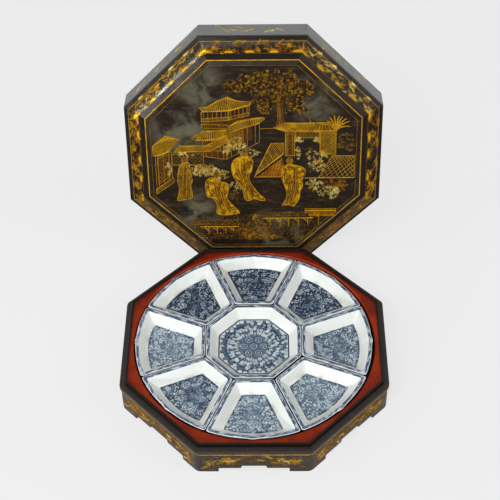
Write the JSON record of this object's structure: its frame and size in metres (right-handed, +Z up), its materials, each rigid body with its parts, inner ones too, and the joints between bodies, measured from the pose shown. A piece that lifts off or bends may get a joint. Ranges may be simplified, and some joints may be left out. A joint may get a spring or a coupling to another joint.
{
  "type": "octagonal lacquer sweetmeat box with porcelain dishes",
  "caption": "Octagonal footed lacquer box with a lift-off lid standing behind it, its round well holding an octagonal porcelain dish ringed by fan-shaped porcelain dishes.",
  "frame": {"origin": "on the floor under the middle of the base, between its feet", "axes": "+X to the right, +Y to the back where the lid stands, +Z up"},
  "size_m": [0.35, 0.4765, 0.3497],
  "materials": {
    "black_lacquer": "glossy black lacquer on wood, rubbed brown at the edges",
    "apron_lacquer": "black lacquer with worn gilt sprays",
    "lid_lacquer": "glossy black lacquer with gilt decoration",
    "red_lacquer": "glossy red lacquer",
    "porcelain": "glazed white porcelain painted in underglaze blue"
  },
  "bodies": {
    "base": {"apron_board_right": "apron_lacquer", "apron_board_rear_right": "apron_lacquer", "apron_board_rear": "apron_lacquer", "apron_board_rear_left": "apron_lacquer", "apron_board_left": "apron_lacquer", "apron_board_front_left": "apron_lacquer", "apron_board_front": "apron_lacquer", "apron_board_front_right": "apron_lacquer", "ledge_rail_right": "black_lacquer", "ledge_rail_rear_right": "black_lacquer", "ledge_rail_rear": "black_lacquer", "ledge_rail_rear_left": "black_lacquer", "ledge_rail_left": "black_lacquer", "ledge_rail_front_left": "black_lacquer", "ledge_rail_front": "black_lacquer", "ledge_rail_front_right": "black_lacquer", "wall_board_right": "black_lacquer", "wall_board_rear_right": "black_lacquer", "wall_board_rear": "black_lacquer", "wall_board_rear_left": "black_lacquer", "wall_board_left": "black_lacquer", "wall_board_front_left": "black_lacquer", "wall_board_front": "black_lacquer", "wall_board_front_right": "black_lacquer", "tray_floor": "red_lacquer", "well_hoop": "red_lacquer", "red_surround": "red_lacquer"},
    "lid": {"lid_skirt_right": "lid_lacquer", "lid_skirt_rear_right": "lid_lacquer", "lid_skirt_rear": "lid_lacquer", "lid_skirt_rear_left": "lid_lacquer", "lid_skirt_left": "lid_lacquer", "lid_skirt_front_left": "lid_lacquer", "lid_skirt_front": "lid_lacquer", "lid_skirt_front_right": "lid_lacquer", "lid_shoulder_right": "lid_lacquer", "lid_shoulder_rear_right": "lid_lacquer", "lid_shoulder_rear": "lid_lacquer", "lid_shoulder_rear_left": "lid_lacquer", "lid_shoulder_left": "lid_lacquer", "lid_shoulder_front_left": "lid_lacquer", "lid_shoulder_front": "lid_lacquer", "lid_shoulder_front_right": "lid_lacquer", "lid_panel": "lid_lacquer"},
    "dish_centre": {"dish_centre": "porcelain"},
    "dish_right": {"dish_right": "porcelain"},
    "dish_rear_right": {"dish_rear_right": "porcelain"},
    "dish_rear": {"dish_rear": "porcelain"},
    "dish_rear_left": {"dish_rear_left": "porcelain"},
    "dish_left": {"dish_left": "porcelain"},
    "dish_front_left": {"dish_front_left": "porcelain"},
    "dish_front": {"dish_front": "porcelain"},
    "dish_front_right": {"dish_front_right": "porcelain"}
  },
  "joints": [
    {"name": "lid_lift", "type": "slide", "parent": "base", "child": "lid", "axis": [0, 0, 1], "range_m": [0, 0.12]},
    {"name": "dish_centre_lift", "type": "slide", "parent": "base", "child": "dish_centre", "axis": [0, 0, 1], "range_m": [0, 0.06]},
    {"name": "dish_right_lift", "type": "slide", "parent": "base", "child": "dish_right", "axis": [0, 0, 1], "range_m": [0, 0.06]},
    {"name": "dish_rear_right_lift", "type": "slide", "parent": "base", "child": "dish_rear_right", "axis": [0, 0, 1], "range_m": [0, 0.06]},
    {"name": "dish_rear_lift", "type": "slide", "parent": "base", "child": "dish_rear", "axis": [0, 0, 1], "range_m": [0, 0.06]},
    {"name": "dish_rear_left_lift", "type": "slide", "parent": "base", "child": "dish_rear_left", "axis": [0, 0, 1], "range_m": [0, 0.06]},
    {"name": "dish_left_lift", "type": "slide", "parent": "base", "child": "dish_left", "axis": [0, 0, 1], "range_m": [0, 0.06]},
    {"name": "dish_front_left_lift", "type": "slide", "parent": "base", "child": "dish_front_left", "axis": [0, 0, 1], "range_m": [0, 0.06]},
    {"name": "dish_front_lift", "type": "slide", "parent": "base", "child": "dish_front", "axis": [0, 0, 1], "range_m": [0, 0.06]},
    {"name": "dish_front_right_lift", "type": "slide", "parent": "base", "child": "dish_front_right", "axis": [0, 0, 1], "range_m": [0, 0.06]}
  ]
}
